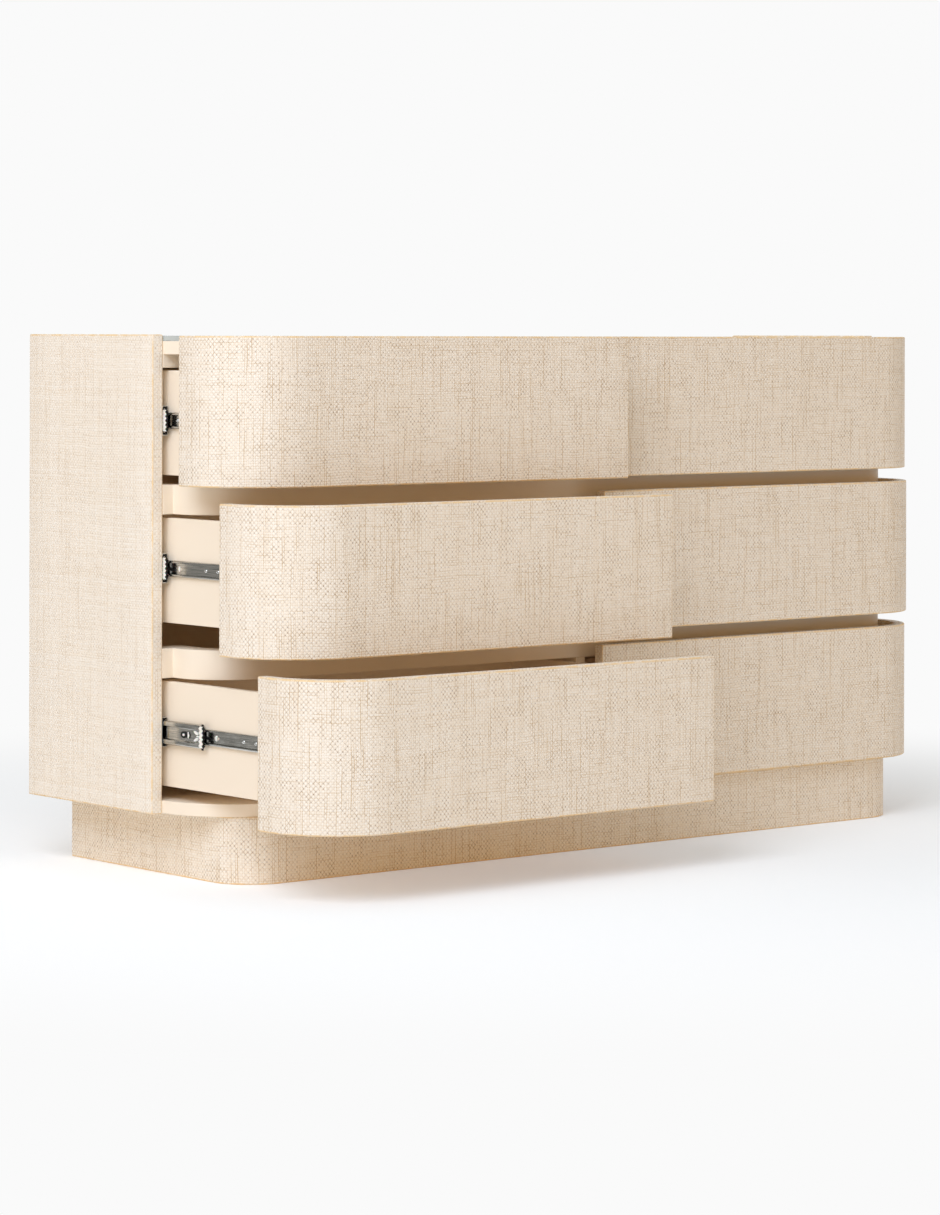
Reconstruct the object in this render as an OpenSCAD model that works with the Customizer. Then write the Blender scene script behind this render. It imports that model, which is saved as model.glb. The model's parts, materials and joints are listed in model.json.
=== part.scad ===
// A six-drawer chest. Its drawer fronts are bent panels wrapped in woven raffia.
// They close round the front corners of a painted case that stands on a wrapped plinth.
// X runs to the right, Y to the back and Z up. The origin is on the floor under the middle of the case.

/* [Case] */
// Width over the two side panels
case_w = 1524; // [1200:2:1800]
// Depth from the closed drawer fronts to the back of the side panels
case_d = 486; // [475:1:560]
// Thickness of a wrapped side panel
side_t = 19; // [16:0.5:25]
// How far the side panels start behind the face of the closed drawer fronts
side_setback = 151; // [145:1:170]
// How far the side panels rise above the drawer fronts
side_rise = 2; // [0:0.5:6]
// How far the side panels hang below the top of the plinth
side_drop = 1; // [0:0.5:4]
// Thickness of the bottom board
bottom_t = 19; // [16:0.5:25]
// Thickness of the top board
top_t = 20; // [16:0.5:25]
// Thickness of the upright between the two columns
divider_t = 19; // [16:0.5:25]
// Thickness of the back panel
back_t = 6; // [4:0.5:9]
// How far the back panel is let in between the side panels
back_inset = 5; // [2:0.5:12]
// Rounding of the wrapped edges
edge_r = 2; // [1:0.25:3]

/* [Rails] */
// Height of a rail between two rows
rail_h = 44.5; // [36:0.5:46]
// How far a rail stands behind the face of the closed drawer fronts
rail_setback = 51; // [40:1:60]
// How far a rail's flank stands in from the side panel
rail_inset = 19.5; // [15:0.5:24]
// Radius of a rail's front corners
rail_r = 82; // [60:1:88]
// Width of the bar that a rail is made of
rail_bar = 40; // [25:1:50]
// Height of the straight rail under the top board
top_rail_h = 20; // [14:1:22]
// Depth of the straight rail under the top board
top_rail_d = 20; // [14:1:30]

/* [Glass] */
// Thickness of the glass laid on the top board
glass_t = 8; // [5:0.5:12]
// Gap between the glass and the side panels
glass_gap = 1; // [0.5:0.25:3]

/* [Plinth] */
// Height of the plinth
plinth_h = 101; // [60:1:150]
// Thickness of the plinth's wall
plinth_t = 19; // [15:0.5:25]
// How far the plinth stands in from each side
plinth_side_in = 66; // [40:1:90]
// How far the plinth stands in from the drawer fronts
plinth_front_in = 16; // [10:1:60]
// How far the plinth stands in from the back
plinth_back_in = 23; // [10:1:60]
// Radius of the plinth's front corners
plinth_r = 73; // [50:1:110]

/* [Drawer fronts] */
// Height of each drawer front
front_h = 223; // [215:1:260]
// Finger gap between two fronts, one above the other
front_gap = 22; // [18:0.5:26]
// Thickness of a drawer front
front_t = 19; // [16:0.5:22]
// Outer radius of the bend in a drawer front
front_r = 126; // [110:1:130]
// Gap at each end of a closed front
front_end_gap = 1.5; // [1:0.25:3]
// Gap between the plinth and the lowest fronts
front_foot_gap = 1; // [0.5:0.25:3]
// Gap between the closed fronts and the edges of the top and bottom boards
board_gap = 2; // [1:0.25:4]

/* [Drawer boxes] */
// Height of the lower boxes above the foot of their fronts
box_lift = 38; // [30:1:60]
// Gap between a lower box and the rail above it
box_head_gap = 5.5; // [3:0.5:20]
// Gap between a top box and the rail under the top board
top_box_gap = 4; // [2:0.5:12]
// Gap between a box and the back panel
box_back_gap = 20; // [10:1:60]
// Gap between a box's front corner and the bend of its front
bend_gap = 1.2; // [0.5:0.1:6]
// Thickness of the box boards
box_t = 12; // [9:0.5:15]
// Thickness of the base panel
base_t = 6; // [4:0.5:9]
// Height of the base panel above the foot of the box
base_lift = 10; // [6:1:16]
// Depth of the grooves that hold the base panel
groove_d = 5; // [3:0.5:7]
// Thickness of a rib between a box and its front
rib_t = 12; // [9:0.5:18]
// Distance of each rib from the foot and the head of the box
rib_in = 18; // [8:1:40]

/* [Drawer slides] */
// Space that a slide takes beside the box
slide_w = 12.7; // [12:0.1:14]
// Height of the fixed member
fixed_h = 45; // [42:0.5:48]
// Height of the middle member
middle_h = 35.5; // [34:0.5:37]
// Height of the runner on the drawer box
runner_h = 24.5; // [22:0.5:26]
// Thickness of the rolled steel
steel_t = 1.2; // [1:0.1:1.5]
// Height of the slide's middle above the foot of the box
slide_lift = 82; // [60:1:100]
// How far the slides start behind the front edges of the side panels
slide_setback = 2; // [1:0.5:6]
// How far the runner slides out of the middle member
runner_travel = 168; // [120:1:190]
// How far the middle member slides out of the fixed one
middle_travel = 132; // [80:1:150]

/* [Drawers as photographed] */
// Opening of the left-hand drawers, from the bottom row up
left_open = [263, 168, 65]; // [0:1:300]
// Opening of the right-hand drawers, from the bottom row up
right_open = [0, 4, 0]; // [0:1:300]

/* [Hidden] */
$fn = 64;
ROWS = ["bottom", "middle", "top"];
COLUMNS = ["left", "right"];
CASE_NODES = [
    "side_left", "side_right", "top_board", "glass_top", "bottom_board", "divider", "back_panel",
    "upper_rail", "lower_rail", "top_rail", "plinth", "plinth_stretcher",
    "fixed_slides_left", "fixed_slides_right"
];
DRAWER_NODES = ["front", "front_ribs", "box_sides", "box_ends", "box_base", "runners", "middle_slides"];
function node_name(row, col, piece) = str(ROWS[row], "_", COLUMNS[col], "_", piece);

// Y of a plane at distance d behind the face of the closed drawer fronts
function from_front(d) = d - case_d / 2;
half_w = case_w / 2;
inner_w = half_w - side_t;
back_d = case_d - back_inset;
board_back = back_d - back_t;
board_front = front_t + board_gap;
board_r = side_setback - board_front;
// In front of the side panels the boards keep inside the short returns of the fronts too
board_half = half_w - max(side_t, front_t) - front_end_gap;
front_pitch = front_h + front_gap;
function front_z(row) = plinth_h + front_foot_gap + row * front_pitch;
function rail_z(row) = front_z(row) - rail_h;
fronts_top = front_z(2) + front_h;
side_z = plinth_h - side_drop;
top_z = fronts_top - glass_t - top_t;
board_z = plinth_h + bottom_t;
rail_end = side_setback + rail_bar;
// A lower box fills the height up to the rail above it; the top boxes are as high and hang under the top rail
box_h = rail_z(1) - box_head_gap - front_z(0) - box_lift;
top_box_z = top_z - top_rail_h - top_box_gap - box_h;
function box_z(row) = row == 2 ? top_box_z : front_z(row) + box_lift;
function slide_z(row) = box_z(row) + slide_lift;
box_outer = inner_w - slide_w;
box_inner = divider_t / 2 + slide_w;
// A box starts where its outer corner has room inside the bend, and ends in front of the back panel
bend_in = front_r - front_t;
box_setback = front_r - sqrt(pow(bend_in - bend_gap, 2) - pow(front_r - side_t - slide_w, 2));
box_back = board_back - box_back_gap;
box_len = box_back - box_setback;
// The slides start behind the side panels' front edges and end a little before the back of the box
slide_end_in = 2;
slide_start = side_setback + slide_setback;
slide_l = box_back - slide_end_in - slide_start;
function opening(row, col) = col == 0 ? left_open[row] : right_open[row];
function middle_opening(row, col) = min(middle_travel, max(0, opening(row, col) - runner_travel));
// Each member of a slide is a channel that runs inside the mouth of the next one with this play
member_play = 0.5;
web_gap = 1;
box_gap = 2;
// The middle member's web is pressed towards the box between two bands, above and below it
web_step = 3.2;
wall_run = 1.5;
band_h = 7.5;
press_gap = 0.5;
middle_u = steel_t + web_gap;
runner_u = middle_u + web_step + steel_t + press_gap;
runner_mouth = runner_h - 6 * steel_t;
hole_r = 2.2;
slot_half = 4;
// Distances of the holes and slots from the front end of their member
runner_holes = [16, 41, 71, slide_l - 110, slide_l - 38];
runner_slots = [slide_l - 162, slide_l - 72];
fixed_holes = [35, 131, slide_l - 41];
groove_play = 0.2;
// How far a cutting shape reaches past what it cuts
cut = 1;

// Quarter disc that rounds a corner; qx and qy choose the quarter
module quarter(r, qx, qy) {
    intersection() {
        circle(r);
        translate([qx < 0 ? -r : 0, qy < 0 ? -r : 0])
            square(r);
    }
}

// Plan shape from y0 to y1, as wide as w to each side, with its two front corners rounded
module front_rounded(w, y0, y1, r) {
    translate([-w, y0 + r])
        square([2 * w, y1 - y0 - r]);
    translate([r - w, y0])
        square([2 * (w - r), r]);
    translate([r - w, y0 + r])
        quarter(r, -1, -1);
    translate([w - r, y0 + r])
        quarter(r, 1, -1);
}

// Rectangle with all four corners rounded, its lowest corner at the origin
module rounded_rect(w, h, r) {
    translate([0, r])
        square([w, h - 2 * r]);
    translate([r, 0])
        square([w - 2 * r, r]);
    translate([r, h - r])
        square([w - 2 * r, r]);
    translate([r, r])
        quarter(r, -1, -1);
    translate([w - r, r])
        quarter(r, 1, -1);
    translate([w - r, h - r])
        quarter(r, 1, 1);
    translate([r, h - r])
        quarter(r, -1, 1);
}

// Left-hand pieces are drawn; the right-hand ones are their mirror images
module for_column(col) {
    mirror([col, 0, 0])
        children();
}

// Case

module side_panel(col) {
    color("Linen")
        for_column(col)
            translate([-half_w, from_front(side_setback), side_z])
                linear_extrude(fronts_top + side_rise - side_z)
                    rounded_rect(side_t, case_d - side_setback, edge_r);
}

// The top and bottom boards reach forward of the side panels, with round corners inside the bent fronts
module board_plan(back, inset = 0) {
    front_rounded(board_half - inset, from_front(board_front + inset), from_front(back), board_r - inset);
    translate([inset - inner_w, from_front(side_setback)])
        square([2 * (inner_w - inset), back - side_setback]);
}

module top_board() {
    color("AntiqueWhite")
        translate([0, 0, top_z])
            linear_extrude(top_t)
                board_plan(board_back);
}

module glass_top() {
    color("LightSteelBlue")
        translate([0, 0, top_z + top_t])
            linear_extrude(glass_t)
                board_plan(back_d, glass_gap);
}

module bottom_board() {
    color("AntiqueWhite")
        translate([0, 0, plinth_h])
            linear_extrude(bottom_t)
                board_plan(board_back);
}

module back_panel() {
    color("AntiqueWhite")
        translate([-inner_w, from_front(board_back), plinth_h])
            cube([2 * inner_w, back_t, top_z + top_t - plinth_h]);
}

module rail(row) {
    color("AntiqueWhite")
        translate([0, 0, rail_z(row)])
            linear_extrude(rail_h)
                difference() {
                    union() {
                        front_rounded(inner_w - rail_inset, from_front(rail_setback), from_front(rail_end), rail_r);
                        translate([-inner_w, from_front(side_setback)])
                            square([2 * inner_w, rail_bar]);
                    }
                    front_rounded(inner_w - rail_inset - rail_bar, from_front(rail_setback + rail_bar),
                        from_front(rail_end + cut), rail_r - rail_bar);
                }
}

module top_rail() {
    color("AntiqueWhite")
        translate([-inner_w, from_front(side_setback), top_z - top_rail_h])
            cube([2 * inner_w, top_rail_d, top_rail_h]);
}

// The upright is notched where the rails pass through it
module divider() {
    color("AntiqueWhite")
        difference() {
            translate([-divider_t / 2, from_front(rail_setback), board_z])
                cube([divider_t, board_back - rail_setback, top_z - board_z]);
            for (row = [1, 2])
                translate([-divider_t, from_front(rail_setback) - cut, rail_z(row)])
                    cube([2 * divider_t, rail_bar + cut, rail_h]);
            translate([-divider_t, from_front(side_setback), top_z - top_rail_h])
                cube([2 * divider_t, top_rail_d, top_rail_h + cut]);
        }
}

module plinth() {
    color("Linen")
        difference() {
            linear_extrude(plinth_h)
                front_rounded(half_w - plinth_side_in, from_front(plinth_front_in),
                    from_front(case_d - plinth_back_in), plinth_r);
            translate([0, 0, -cut])
                linear_extrude(plinth_h + 2 * cut)
                    front_rounded(half_w - plinth_side_in - plinth_t, from_front(plinth_front_in + plinth_t),
                        from_front(case_d - plinth_back_in - plinth_t), plinth_r - plinth_t);
        }
}

module plinth_stretcher() {
    color("BurlyWood")
        translate([-plinth_t / 2, from_front(plinth_front_in + plinth_t), 0])
            cube([plinth_t, case_d - plinth_front_in - plinth_back_in - 2 * plinth_t, plinth_h]);
}

// Drawer slides

// A rolled channel seen from its end: depth u from its web, height h, with lips turned in at its mouth
module channel(u, h, mouth) {
    r = 2 * steel_t;
    translate([0, -h / 2])
        difference() {
            rounded_rect(u, h, r);
            translate([steel_t, steel_t])
                rounded_rect(u - 2 * steel_t, h - 2 * steel_t, r - steel_t);
            translate([u - 2 * steel_t, (h - mouth) / 2])
                square([3 * steel_t, mouth]);
        }
}

// Runs a channel's section back from the front end of a slide; u points from the case to the box
module along_slide() {
    translate([0, from_front(slide_start), 0])
        rotate([-90, 0, 0])
            linear_extrude(slide_l)
                children();
}

// Round hole through a member's web
module web_hole(d) {
    translate([0, from_front(slide_start + d), 0])
        rotate([0, 90, 0])
            cylinder(r = hole_r, h = 4 * slide_w, center = true);
}

module web_slot(d) {
    for (end = [-1, 1])
        web_hole(d + end * slot_half);
    translate([0, from_front(slide_start + d), 0])
        cube([4 * slide_w, 2 * slot_half, 2 * hole_r], center = true);
}

module fixed_member() {
    difference() {
        along_slide()
            channel(slide_w - box_gap, fixed_h, middle_h + 2 * member_play);
        for (d = fixed_holes)
            web_hole(d);
    }
}

// Outline of the pressed part of the middle member's web, drawn wider on its inner side to keep the wall's thickness
module pressed(wider = 0) {
    half = middle_h / 2 - band_h + wider;
    polygon([[0, -half], [web_step, wall_run - half], [web_step, half - wall_run], [0, half]]);
}

module middle_member() {
    along_slide()
        translate([middle_u, 0])
            difference() {
                union() {
                    channel(slide_w - box_gap - middle_u, middle_h, runner_h + 2 * member_play);
                    translate([steel_t, 0])
                        pressed(steel_t / 2);
                }
                pressed();
            }
}

module runner_member() {
    difference() {
        along_slide()
            translate([slide_w, 0])
                mirror([1, 0])
                    channel(slide_w - runner_u, runner_h, runner_mouth);
        for (d = runner_holes)
            web_hole(d);
        for (d = runner_slots)
            web_slot(d);
    }
}

// Places a slide's member on both sides of a drawer: on the side panel and on the divider
module on_both_sides(row) {
    translate([-inner_w, 0, slide_z(row)])
        children();
    translate([-divider_t / 2, 0, slide_z(row)])
        mirror([1, 0, 0])
            children();
}

module fixed_slides(col) {
    color("Silver")
        for_column(col)
            for (row = [0:2])
                on_both_sides(row)
                    fixed_member();
}

module middle_slides(row, col) {
    color("LightGray")
        for_column(col)
            translate([0, -middle_opening(row, col), 0])
                on_both_sides(row)
                    middle_member();
}

module runners(row, col) {
    color("Silver")
        on_drawer(row, col)
            on_both_sides(row)
                runner_member();
}

// Drawers

module on_drawer(row, col) {
    for_column(col)
        translate([0, -opening(row, col), 0])
            children();
}

// The front's section, carried along the straight run, round the bend and along the short return
module front_section() {
    rounded_rect(front_t, front_h, edge_r);
}

module drawer_front(row, col) {
    straight = half_w - front_r - front_end_gap;
    color("Linen")
        on_drawer(row, col)
            translate([0, 0, front_z(row)]) {
                translate([front_r - half_w, from_front(0), 0])
                    rotate([90, 0, 90])
                        linear_extrude(straight)
                            front_section();
                translate([front_r - half_w, from_front(front_r), 0])
                    rotate([0, 0, 180])
                        rotate_extrude(angle = 90)
                            translate([bend_in, 0])
                                front_section();
                translate([-half_w, from_front(side_setback - front_end_gap), 0])
                    rotate([90, 0, 0])
                        linear_extrude(side_setback - front_end_gap - front_r)
                            front_section();
            }
}

// Plan of the space between a box and its bent front
module rib_plan() {
    reach = front_r - box_setback;
    end_x = front_r - sqrt(bend_in * bend_in - reach * reach);
    intersection() {
        union() {
            translate([front_r - half_w, from_front(front_t)])
                square([half_w - front_r - box_inner, box_setback - front_t]);
            translate([front_r - half_w, from_front(front_r)])
                circle(bend_in, $fn = 96);
        }
        translate([end_x - half_w, from_front(front_t)])
            square([half_w - end_x - box_inner, box_setback - front_t]);
    }
}

module front_ribs(row, col) {
    color("BurlyWood")
        on_drawer(row, col)
            for (z = [rib_in, box_h - rib_in - rib_t])
                translate([0, 0, box_z(row) + z])
                    linear_extrude(rib_t)
                        rib_plan();
}

module box_sides(row, col) {
    color("AntiqueWhite")
        on_drawer(row, col)
            for (x = [-box_outer, -box_inner - box_t])
                difference() {
                    translate([x, from_front(box_setback), box_z(row)])
                        cube([box_t, box_len, box_h]);
                    base_groove(row);
                }
}

module box_ends(row, col) {
    color("AntiqueWhite")
        on_drawer(row, col)
            for (d = [box_setback, box_back - box_t])
                difference() {
                    translate([box_t - box_outer, from_front(d), box_z(row)])
                        cube([box_outer - box_inner - 2 * box_t, box_t, box_h]);
                    base_groove(row);
                }
}

// The space that the base panel takes, with play p all round
module base_space(row, p) {
    in = box_t - groove_d - p;
    translate([in - box_outer, from_front(box_setback + in), box_z(row) + base_lift - p])
        cube([box_outer - box_inner - 2 * in, box_len - 2 * in, base_t + 2 * p]);
}

module base_groove(row) {
    base_space(row, groove_play);
}

module box_base(row, col) {
    color("AntiqueWhite")
        on_drawer(row, col)
            base_space(row, 0);
}

side_panel(0);  // side_left
side_panel(1);  // side_right
top_board();
glass_top();
bottom_board();
divider();
back_panel();
rail(2);  // upper_rail
rail(1);  // lower_rail
top_rail();
plinth();
plinth_stretcher();
fixed_slides(0);  // fixed_slides_left
fixed_slides(1);  // fixed_slides_right
for (row = [0:2], col = [0:1]) {
    drawer_front(row, col);
    front_ribs(row, col);
    box_sides(row, col);
    box_ends(row, col);
    box_base(row, col);
    runners(row, col);
    middle_slides(row, col);
}
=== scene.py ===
# %% [markdown]
# # A chest of drawers wrapped in woven raffia
# Six thick drawer fronts turn round the corners of a low, wide case. Each front is a bent panel, wrapped in
# lacquered raffia cloth like the side panels and the plinth. The boards inside are painted cream, and the
# drawers run on zinc-plated ball-bearing slides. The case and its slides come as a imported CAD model.
# This script dresses it: it rebuilds the wrapped pieces with a weave that follows their bends, eases the
# painted boards' arrises, adds the slides' small parts, and gives every piece its finish.

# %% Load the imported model
import json
import math
from itertools import product

import bmesh
import bpy
import numpy as np
from mathutils import Matrix, Vector

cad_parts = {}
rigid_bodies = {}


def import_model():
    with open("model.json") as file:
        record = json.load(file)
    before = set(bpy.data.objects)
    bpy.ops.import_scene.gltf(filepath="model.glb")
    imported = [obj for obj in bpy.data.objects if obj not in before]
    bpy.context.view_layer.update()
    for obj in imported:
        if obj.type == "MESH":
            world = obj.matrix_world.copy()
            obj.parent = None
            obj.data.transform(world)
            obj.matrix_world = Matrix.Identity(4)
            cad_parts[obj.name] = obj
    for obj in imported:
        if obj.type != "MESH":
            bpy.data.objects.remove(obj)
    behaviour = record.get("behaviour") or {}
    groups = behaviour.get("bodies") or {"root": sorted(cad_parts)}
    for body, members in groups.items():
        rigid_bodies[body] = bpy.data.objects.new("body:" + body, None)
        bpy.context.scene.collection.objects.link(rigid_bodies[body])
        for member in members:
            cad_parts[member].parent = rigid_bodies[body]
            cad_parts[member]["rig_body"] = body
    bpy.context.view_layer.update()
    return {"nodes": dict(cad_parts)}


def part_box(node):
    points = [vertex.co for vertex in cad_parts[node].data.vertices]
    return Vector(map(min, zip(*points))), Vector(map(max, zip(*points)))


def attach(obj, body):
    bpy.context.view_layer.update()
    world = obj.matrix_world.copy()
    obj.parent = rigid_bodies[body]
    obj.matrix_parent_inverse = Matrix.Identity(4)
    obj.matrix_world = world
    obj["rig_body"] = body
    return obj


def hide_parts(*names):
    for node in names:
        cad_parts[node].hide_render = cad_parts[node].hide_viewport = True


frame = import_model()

# %% [markdown]
# ## The camera
# The place, the direction and the lens were fitted to sixty edges measured in the photograph. The camera
# stands level with the top of the chest, so the top is seen edge on. Tilted down to hold the plinth, it
# would make the upright edges lean. So it looks straight ahead, and a lens shift takes the picture from the
# lower part of the view.

# %% Camera
def new_object(name, data):
    """An object with this data, in the scene."""
    thing = bpy.data.objects.new(name, data)
    bpy.context.scene.collection.objects.link(thing)
    return thing


EYE = (-4.0621, -4.8304, 0.8169)  # metres
TURN = math.radians(39.559)       # from straight on towards the chest's left side
ROLL = math.radians(0.1109)
PHOTO_HEIGHT = 1215  # pixels of the photograph, as are the next two
FOCAL = 3857.1
HORIZON = 335.0  # the row level with the camera
SENSOR = 36      # mm

level_right = Vector((math.cos(TURN), -math.sin(TURN), 0))
forward = Vector((math.sin(TURN), math.cos(TURN), 0))
upright = Vector((0, 0, 1))
right = level_right * math.cos(ROLL) + upright * math.sin(ROLL)
up = upright * math.cos(ROLL) - level_right * math.sin(ROLL)

camera = new_object("camera", bpy.data.cameras.new("camera"))
camera.data.sensor_fit = "VERTICAL"
camera.data.sensor_height = SENSOR
camera.data.lens = SENSOR * FOCAL / PHOTO_HEIGHT
camera.data.shift_y = (HORIZON - PHOTO_HEIGHT / 2) / PHOTO_HEIGHT
facing = Matrix((right, up, -forward)).transposed().to_4x4()
camera.matrix_world = Matrix.Translation(EYE) @ facing
bpy.context.scene.camera = camera
print("lens", round(camera.data.lens, 2), "mm, shift", round(camera.data.shift_y, 4))

# %% [markdown]
# ## Helpers for materials
# A material is a small network of nodes. One function turns a paint chart's colour into the linear values
# that shaders work with, one adds a node with its settings and links, and one makes the material.

# %% Colours and nodes
def linear(hexa):
    """sRGB hex to linear RGBA: c/12.92 below 0.04045, else ((c + 0.055)/1.055) to the power 2.4."""
    c = np.array([int(hexa[i:i + 2], 16) for i in (1, 3, 5)]) / 255
    return (*np.where(c <= 0.04045, c / 12.92, ((c + 0.055) / 1.055) ** 2.4), 1.0)


def add(tree, kind, inputs=None, out=0, **settings):
    """A new node: its own settings first, then each input, which is a value or a socket to link. Returns
    the output numbered or named out, or all of them for None."""
    node = tree.nodes.new("ShaderNode" + kind)
    for name, value in settings.items():
        setattr(node, name, value)
    for key, value in (inputs or {}).items():
        if isinstance(value, bpy.types.NodeSocket):
            tree.links.new(value, node.inputs[key])
        else:
            node.inputs[key].default_value = value
    return node.outputs if out is None else node.outputs[out]


def new_material(name, finish, *details):
    """A material with the shader that the function finish builds in its empty node tree."""
    material = bpy.data.materials.new(name)
    material.use_nodes = True
    tree = material.node_tree
    tree.nodes.clear()
    output = tree.nodes.new("ShaderNodeOutputMaterial")
    tree.links.new(finish(tree, *details), output.inputs[0])
    return material


print("#808080 in linear light:", round(linear("#808080")[0], 3))

# %% [markdown]
# ## Lacquered raffia
# Raffia is split palm leaf, woven by hand into cloth with flat threads about 3 mm wide. The cloth is glued
# round the board and lacquered cream. The lacquer fills the weave but not the pinholes where four threads
# meet. Brown is painted there and where a warp thread dips under: partly cane showing, partly painted shade
# in these hollows. Some gaps between threads stay open as fine tan lines. A picture of cloth would repeat,
# and would stretch round the bends. So the pattern is worked out from the piece's own UV map, in
# millimetres.
# Threads are counted with floor, the place within a thread is the fraction, and whichever thread is higher
# at a point gives the surface its height and its tone.

# %% Threads
WARP_PITCH = 3.5   # upright threads, mm; the real 3.15 mm is too fine to show
WEFT_PITCH = 3.85  # level threads, mm; drawn coarser than the real 3.5 mm too


def woven_threads(tree, place):
    """The place counted in threads. Hand weaving wanders, by half a millimetre over a hand's breadth."""
    wander = add(tree, "TexNoise", {"Vector": place, "Scale": 0.012, "Detail": 1.0},
                 noise_dimensions="2D", out="Color")
    wander = add(tree, "VectorMath", {0: wander, 1: (0.5, 0.5, 0.5)}, operation="SUBTRACT")
    woven = add(tree, "VectorMath", {0: wander, 1: (4.0, 5.0, 0.0), 2: place}, operation="MULTIPLY_ADD")
    return add(tree, "VectorMath", {0: woven, 1: (WARP_PITCH, WEFT_PITCH, 1.0)}, operation="DIVIDE")


def across_threads(tree, threads):
    """(2f - 1)^2 both ways, f being the fraction: 0 along the middle of a thread, 1 along its edges."""
    part = add(tree, "VectorMath", {0: threads}, operation="FRACTION")
    across = add(tree, "VectorMath", {0: part, 1: (2, 2, 2), 2: (-1, -1, -1)}, operation="MULTIPLY_ADD")
    return add(tree, "VectorMath", {0: across, 1: across}, operation="MULTIPLY")


def plain_weave(tree, threads):
    """With a and b the place in threads, sin(pi a) sin(pi b) is +1 where a warp thread lies over a weft
    thread and -1 where it dips under."""
    angle = add(tree, "VectorMath", {0: threads, "Scale": math.pi}, operation="SCALE")
    wave = add(tree, "VectorMath", {0: angle}, operation="SINE")
    waves = add(tree, "SeparateXYZ", {0: wave}, out=None)
    return add(tree, "Math", {0: waves[0], 1: waves[1]}, operation="MULTIPLY")


def weave_height(tree, weave, dip, edges):
    """The higher thread of the two, each crowned across its width."""
    warp = add(tree, "Math", {0: edges[0], 1: -0.7, 2: weave}, operation="MULTIPLY_ADD")
    weft = add(tree, "Math", {0: edges[1], 1: -0.7, 2: dip}, operation="MULTIPLY_ADD")
    return add(tree, "Math", {0: warp, 1: weft}, operation="MAXIMUM")


def thread_cream(tree, number, weave):
    """Each thread has a cream of its own, and the thread on top gives the colour."""
    numbers = add(tree, "SeparateXYZ", {0: number}, out=None)
    weft_number = add(tree, "Math", {0: numbers[1], 1: 0.5}, operation="ADD")
    warp = add(tree, "TexWhiteNoise", {"W": numbers[0]}, noise_dimensions="1D")
    weft = add(tree, "TexWhiteNoise", {"W": weft_number}, noise_dimensions="1D")
    warp_over = add(tree, "Math", {0: weave, 1: 0.0}, operation="GREATER_THAN")
    tone = add(tree, "Mix", {"Factor": warp_over, "A": weft, "B": warp})
    return add(tree, "Mix", {"Factor": tone, "A": linear("#f9f1e4"), "B": linear("#fefaf2")},
               data_type="RGBA", out=2)


print(round(1000 / WARP_PITCH), "upright and", round(1000 / WEFT_PITCH), "level threads in a metre")


# %% Gaps and pinholes
def gap_noise(tree, place, threads):
    """Smooth noise along the warp's gaps and the weft's. The gap's number times 7.31 is one coordinate, so
    that neighbours are unlike, and the place along the gap the other."""
    spots = add(tree, "SeparateXYZ", {0: place}, out=None)
    along_warp = add(tree, "Math", {0: spots[1], 1: 0.011}, operation="MULTIPLY")
    along_weft = add(tree, "Math", {0: spots[0], 1: 0.03}, operation="MULTIPLY")
    nearest = add(tree, "VectorMath", {0: threads, 1: (0.5, 0.5, 0.5)}, operation="ADD")
    gap = add(tree, "VectorMath", {0: nearest}, operation="FLOOR")
    gap = add(tree, "VectorMath", {0: gap, "Scale": 7.31}, operation="SCALE")
    gaps = add(tree, "SeparateXYZ", {0: gap}, out=None)
    warp_at = add(tree, "CombineXYZ", {0: gaps[0], 1: along_warp, 2: 3.7})
    weft_at = add(tree, "CombineXYZ", {0: along_weft, 1: gaps[1], 2: 8.3})
    warp_gap = add(tree, "TexNoise", {"Vector": warp_at, "Scale": 1.0, "Detail": 1.0})
    weft_gap = add(tree, "TexNoise", {"Vector": weft_at, "Scale": 1.0, "Detail": 1.0})
    return warp_gap, weft_gap


def gap_line(tree, gap, edge, narrow, opened, widened):
    """How much tan shows along a gap: narrow, (2f - 1)^4, times its opening, plus edge, (2f - 1)^2, times
    its widening. Each of the last two arguments maps the gap's noise: (from, to, least, most)."""
    opening = add(tree, "MapRange", {0: gap, **dict(enumerate(opened, 1))})
    widening = add(tree, "MapRange", {0: gap, **dict(enumerate(widened, 1))})
    line = add(tree, "Math", {0: narrow, 1: opening}, operation="MULTIPLY")
    return add(tree, "Math", {0: edge, 1: widening, 2: line}, operation="MULTIPLY_ADD")


def cane_and_hollow_shade(tree, dip, narrows, gaps):
    """Brown where a warp thread dips, and in the pinhole where four threads meet, which follows (2f - 1)^4
    both ways and is strongest along the open gaps: partly cane showing, partly painted shade in these
    hollows."""
    dips = add(tree, "MapRange", {0: dip, 1: 0.3, 2: 0.88, 4: 0.78}, interpolation_type="SMOOTHSTEP")
    corner = add(tree, "Math", {0: narrows[0], 1: narrows[1]}, operation="MULTIPLY")
    pinhole = add(tree, "MapRange", {0: corner, 1: 0.12, 2: 0.6}, interpolation_type="SMOOTHSTEP")
    column = add(tree, "MapRange", {0: gaps[0], 1: 0.45, 2: 0.65, 3: 0.1, 4: 1.3})
    row = add(tree, "MapRange", {0: gaps[1], 1: 0.52, 2: 0.68, 4: 1.1})
    strength = add(tree, "Math", {0: column, 1: row}, operation="ADD")
    return add(tree, "Math", {0: pinhole, 1: strength, 2: dips}, operation="MULTIPLY_ADD", use_clamp=True)


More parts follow.
